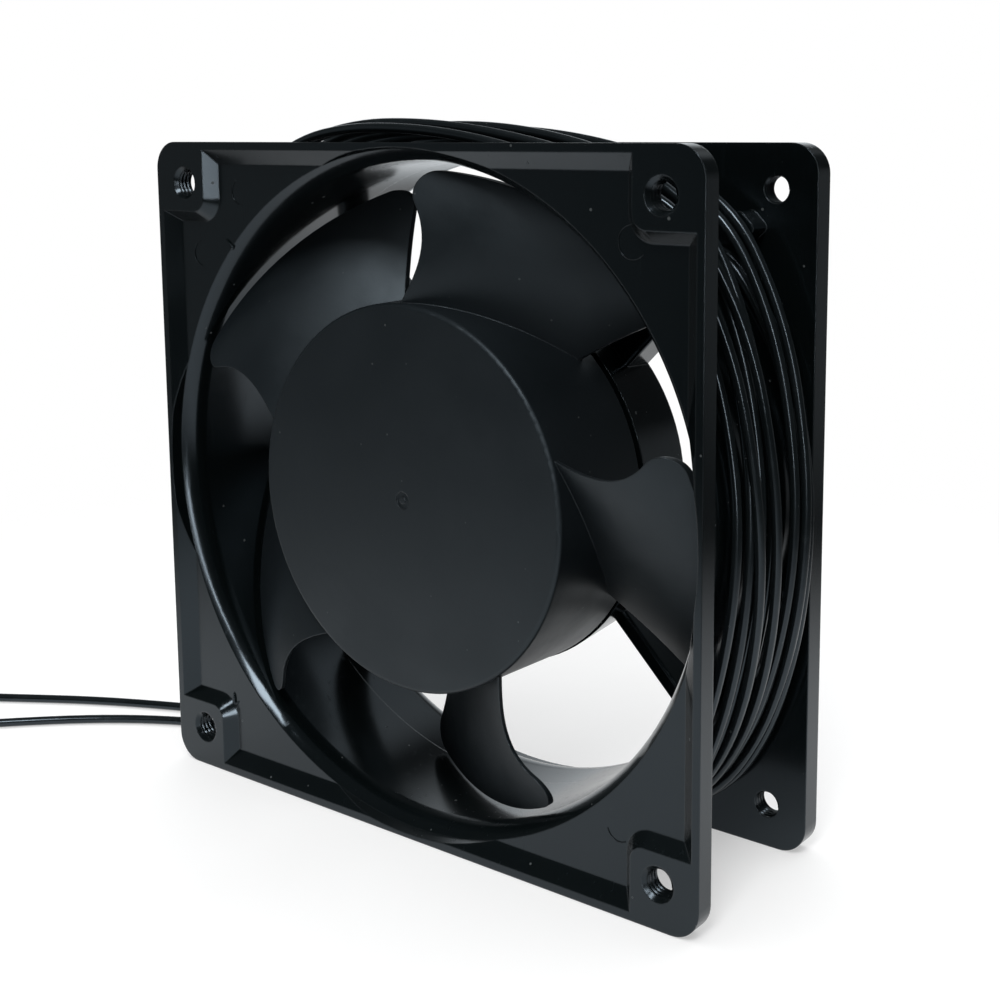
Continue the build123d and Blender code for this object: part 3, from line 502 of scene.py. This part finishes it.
def lead_curve(name, route):
    """One lead as a round curve along its route, in millimetres."""
    curve = bpy.data.curves.new(f"lead_{name}", "CURVE")
    curve.dimensions = "3D"
    spline = curve.splines.new("NURBS")
    spline.points.add(len(route) - 1)
    for point, at in zip(spline.points, route):
        point.co = (*(at * MM), 1.0)
    spline.order_u = 3
    spline.use_endpoint_u = True
    curve.resolution_u = 5
    curve.bevel_depth = LEAD_D / 2 * MM
    curve.bevel_resolution = 5
    curve.use_fill_caps = True
    lead = bpy.data.objects.new(f"lead_{name}", curve)
    bpy.context.scene.collection.objects.link(lead)
    finish_of(lead, "lead_pvc")
    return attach(lead, "frame")


# stripped ends: seven tinned wires laid in a twist, splayed a little at the tip
TIP_LENGTH = 6.0
TIP_WIRES = 7            # six round one in the middle
TIP_WIRE_R = 0.165
TIP_RING_R = 0.34
TIP_TWIST = 300          # degrees from end to end
TIP_ROWS = 25
TIP_ACROSS = 8


def stripped_end(name):
    (x0, y0), (x1, y1) = TAILS[name][-2:]
    ahead = Vector((x1 - x0, y1 - y0, 0)).normalized()
    aside = Vector((-ahead.y, ahead.x, 0))
    start = Vector((x1, y1, FLOOR_Z))
    points, faces = [], []
    for wire in range(TIP_WIRES):
        ring = 0.0 if wire == TIP_WIRES - 1 else TIP_RING_R
        reach = TIP_LENGTH - 0.12 * (wire % 3)
        first = len(points)
        for i in range(TIP_ROWS):
            along = i / (TIP_ROWS - 1)
            turn = math.radians(60 * wire + TIP_TWIST * along)
            splay = ring * (1 + 0.35 * along * along * (1 + 0.3 * math.sin(5 * wire)))
            centre = (start + ahead * (along * reach - 0.2) + aside * splay * math.cos(turn)
                      + Vector((0, 0, splay * math.sin(turn))))
            for j in range(TIP_ACROSS):
                b = 2 * math.pi * j / TIP_ACROSS
                round_wire = aside * math.cos(b) + Vector((0, 0, math.sin(b)))
                points.append(centre + round_wire * TIP_WIRE_R)
        join_rows(faces, first, TIP_ROWS, TIP_ACROSS)
        last = first + TIP_ACROSS * (TIP_ROWS - 1)
        faces.append(tuple(range(last, last + TIP_ACROSS)))
        faces.append(tuple(range(first + TIP_ACROSS - 1, first - 1, -1)))
    return mesh_piece(f"lead_{name}_stripped_end", points, faces, "tinned_copper")


stands_for = {"a": ["lead_a_tail"], "b": ["lead_b_tail", "lead_winding"]}
spread = 1.0 / math.cos(math.pi / STEPS)      # the spline runs inside its control points
axis = Vector((0, EXIT_Y, AXIS_Z))
exit_turn = math.radians(EXIT_ANGLE)
outward = Vector((math.cos(exit_turn), 0, math.sin(exit_turn)))
sideways = Vector((-math.sin(exit_turn), 0, math.cos(exit_turn)))
leads = {}
for name, strand in wound().items():
    beside = axis + sideways * SIDES[name]
    route = [beside + outward * INSIDE_R,
             beside + outward * RISEN_R + Vector((0, RISEN_DY[name], 0))]
    for angle, y, radius, _ in strand[1:]:
        t = math.radians(angle)
        route.append(Vector((spread * radius * math.cos(t), y,
                             AXIS_Z + spread * radius * math.sin(t))))
    for point in route:
        point.z = max(point.z, FLOOR_Z)
    route += [Vector((x, y, FLOOR_Z)) for x, y in TAILS[name]]
    leads[name] = lead_curve(name, route)
for name, lead in leads.items():
    tip = stripped_end(name)
    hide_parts(f"lead_{name}_tip")
    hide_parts(*stands_for[name])

# ---------------------------------------------------------------- small features
HOLE_X, HOLE_Z = (-52.5, 52.5), (7.5, 112.5)
HOLE_Y = ((-18.25, -15.55), (15.05, 18.25))    # from and to, in the two flanges
THREAD_PITCH = 0.8
THREAD_STEPS = 32        # rows of points for each turn
HOLE_WALL_R = 2.34       # just behind the hole's wall
CREST_HEIGHT = 0.22
points, faces = [], []
for hole_x in HOLE_X:
    for hole_z in HOLE_Z:
        for low, high in HOLE_Y:
            first = len(points)
            count = int(THREAD_STEPS * (high - low - 0.1) / THREAD_PITCH)
            for i in range(count + 1):
                turn = 2 * math.pi * i / THREAD_STEPS
                y = low + 0.05 + THREAD_PITCH * i / THREAD_STEPS
                crest_r = HOLE_WALL_R - 0.01 - CREST_HEIGHT * min(1.0, i / 8, (count - i) / 8)
                for radius, across in ((HOLE_WALL_R, -0.30), (crest_r, -0.04),
                                       (crest_r, 0.04), (HOLE_WALL_R, 0.30)):
                    points.append((hole_x + radius * math.cos(turn), y + across,
                                   hole_z + radius * math.sin(turn)))
            join_rows(faces, first, count + 1, 4, closed=False)
mesh_piece("hole_threads", points, faces, "housing_plastic", smooth=False)


def low_ring(x, y, z, radius, height, tilt=0.0, arc=(0, 360)):
    """Points and faces of a thin raised ring, or part of one, on a flange's floor."""
    start, rows, across, tube = len(points), 49, 6, 0.10
    for i in range(rows):
        t = math.radians(arc[0] + (arc[1] - arc[0]) * i / (rows - 1))
        rise = height * (1 + tilt * math.cos(t))
        for j in range(across):
            b = 2 * math.pi * j / across
            r = radius + tube * math.cos(b)
            points.append((x + r * math.cos(t), y - rise * (0.5 + math.sin(b)) * 0.5,
                           z + r * math.sin(t)))
    join_rows(faces, start, rows, across)


def mound(x, y, z, wide, high, long, turn):
    """Points and faces of a small raised nub, long in one direction on a flange's floor."""
    start, rows, across = len(points), 7, 16
    for i in range(rows):
        lift = 0.5 * math.pi * i / (rows - 1)
        for j in range(across):
            b = 2 * math.pi * j / across
            u = wide * math.cos(lift) * math.cos(b)
            v = long * math.cos(lift) * math.sin(b)
            points.append((x + u * math.cos(turn) - v * math.sin(turn), y - high * math.sin(lift),
                           z + u * math.sin(turn) + v * math.cos(turn)))
    join_rows(faces, start, rows, across)


FRONT_FLOOR_Y, REAR_FLOOR_Y = -16.82, 16.90
MOUND_FOOT_Y = -16.75
RING_HEIGHT = 0.16
points, faces = [], []
# the gate's stump, and a burr with a spur beside the lower pad
for x, z, wide, high, long, turn in ((-42.9, 101.6, 0.30, 0.45, 1.35, 0.85),
                                     (-42.2, 101.0, 0.45, 0.60, 0.50, 0.0),
                                     (-46.2, 13.9, 0.22, 0.50, 1.50, 0.1),
                                     (-45.6, 13.2, 0.25, 0.40, 0.90, -0.9)):
    mound(x, MOUND_FOOT_Y, z, wide, high, long, turn)
for x, z, r, arc in ((46.1, 105.5, 2.6, (40, 320)), (-39.6, 111.1, 2.3, (110, 255)),
                     (-50.5, 99.6, 2.3, (105, 260)), (43.9, 13.4, 2.3, (195, 300))):
    low_ring(x, FRONT_FLOOR_Y, z, r, RING_HEIGHT, arc=arc)
for x, z in ((46.1, 105.5), (-46.1, 105.5), (46.1, 14.5), (-46.1, 14.5)):
    low_ring(x, REAR_FLOOR_Y, z, 2.4, -RING_HEIGHT, tilt=0.3)
mesh_piece("ejector_marks", points, faces, "housing_plastic")

# ---------------------------------------------------------------- studio
FLOOR_FADE = (0.09, 0.27)    # the lit floor thins out to the white background, metres
floor_look = Look("studio_floor")
floor_away = floor_look.node("ShaderNodeVectorMath", {0: floor_look.place},
                             operation="LENGTH").outputs["Value"]
floor_look.bump(floor_look.noise(300, 3), 0.02 * MM, 0.3)
floor_look.done(floor_look.mix(floor_look.noise(9, 3), (0.49, 0.49, 0.49), (0.51, 0.51, 0.51)),
                floor_look.drift(30, 0.6, 0.8),
                Emission_Color=(1, 1, 1, 1), Emission_Strength=0.45)
floor_look.tree.links.new(floor_look.between(floor_away, *FLOOR_FADE, 1.0, 0.0),
                          floor_look.shader.inputs["Alpha"])
bm = bmesh.new()
bmesh.ops.create_circle(bm, cap_ends=True, segments=96, radius=FLOOR_FADE[1] + 0.01)
floor_mesh = bpy.data.meshes.new("studio_floor")
bm.to_mesh(floor_mesh)
bm.free()
floor = bpy.data.objects.new("studio_floor", floor_mesh)
floor_mesh.materials.append(floor_look.material)
bpy.context.scene.collection.objects.link(floor)
floor.location.z = -0.0001


def softbox(name, at, aim, size, power, glossy=True, diffuse=True):
    """A rectangular lamp in metres and watts, which the camera doesn't see."""
    data = bpy.data.lights.new(name, "AREA")
    data.shape = "RECTANGLE"
    data.size, data.size_y = size
    data.energy = power
    light = bpy.data.objects.new(name, data)
    light.location = at
    light.rotation_euler = (Vector(aim) - Vector(at)).to_track_quat("-Z", "Y").to_euler()
    light.visible_camera = False
    light.visible_glossy = glossy
    light.visible_diffuse = diffuse
    bpy.context.scene.collection.objects.link(light)


softbox("overhead", (0.0, 0.0, 1.5), (0, 0, 0), (2.2, 2.2), 36, glossy=False)
softbox("key", (0.27, -0.62, 0.80), (0, 0, 0.06), (0.30, 0.30), 5.0)
softbox("tall", (0.66, -0.78, 0.34), (0, 0, 0.12), (0.07, 0.85), 3.4, diffuse=False)

world = bpy.data.worlds.new("studio")
world.use_nodes = True
tree = world.node_tree
tree.nodes.clear()
ray = tree.nodes.new("ShaderNodeTexCoord").outputs["Generated"]


def glow(direction, inner, outer, value):
    """A soft patch of light in the surroundings, about a direction; angles in degrees."""
    along = tree.nodes.new("ShaderNodeVectorMath")
    along.operation = "DOT_PRODUCT"
    along.inputs[1].default_value = Vector(direction).normalized()
    tree.links.new(ray, along.inputs[0])
    patch = tree.nodes.new("ShaderNodeMapRange")
    patch.interpolation_type = "SMOOTHSTEP"
    tree.links.new(along.outputs["Value"], patch.inputs["Value"])
    for key, number in (("From Min", math.cos(math.radians(outer))), ("To Max", value),
                        ("From Max", math.cos(math.radians(inner)))):
        patch.inputs[key].default_value = number
    return patch.outputs["Result"]


BASE_LIGHT = 0.040       # what the surroundings give where no patch is
glows = [glow((-0.62, 0.78, 0.0), 14, 40, 1.0), glow((0.42, 0.90, -0.05), 4, 14, 0.16),
         glow((-0.90, -0.60, 0.05), 10, 34, 0.16), glow((0, 0, 1), 0, 70, 0.05),
         glow((0.05, 0.66, 0.75), 8, 24, 0.6)]
level = None
for patch in glows:
    add = tree.nodes.new("ShaderNodeMath")
    add.operation = "ADD"
    tree.links.new(patch, add.inputs[0])
    if level is None:
        add.inputs[1].default_value = BASE_LIGHT
    else:
        tree.links.new(level, add.inputs[1])
    level = add.outputs[0]
seen, around = (tree.nodes.new("ShaderNodeBackground") for _ in range(2))
seen.inputs["Color"].default_value = (1, 1, 1, 1)
around.inputs["Color"].default_value = (0.92, 0.97, 1.0, 1)
tree.links.new(level, around.inputs["Strength"])
mixer = tree.nodes.new("ShaderNodeMixShader")
tree.links.new(tree.nodes.new("ShaderNodeLightPath").outputs["Is Camera Ray"], mixer.inputs[0])
tree.links.new(around.outputs[0], mixer.inputs[1])
tree.links.new(seen.outputs[0], mixer.inputs[2])
tree.links.new(mixer.outputs[0], tree.nodes.new("ShaderNodeOutputWorld").inputs["Surface"])
bpy.context.scene.world = world
bpy.context.scene.view_settings.view_transform = "Standard"
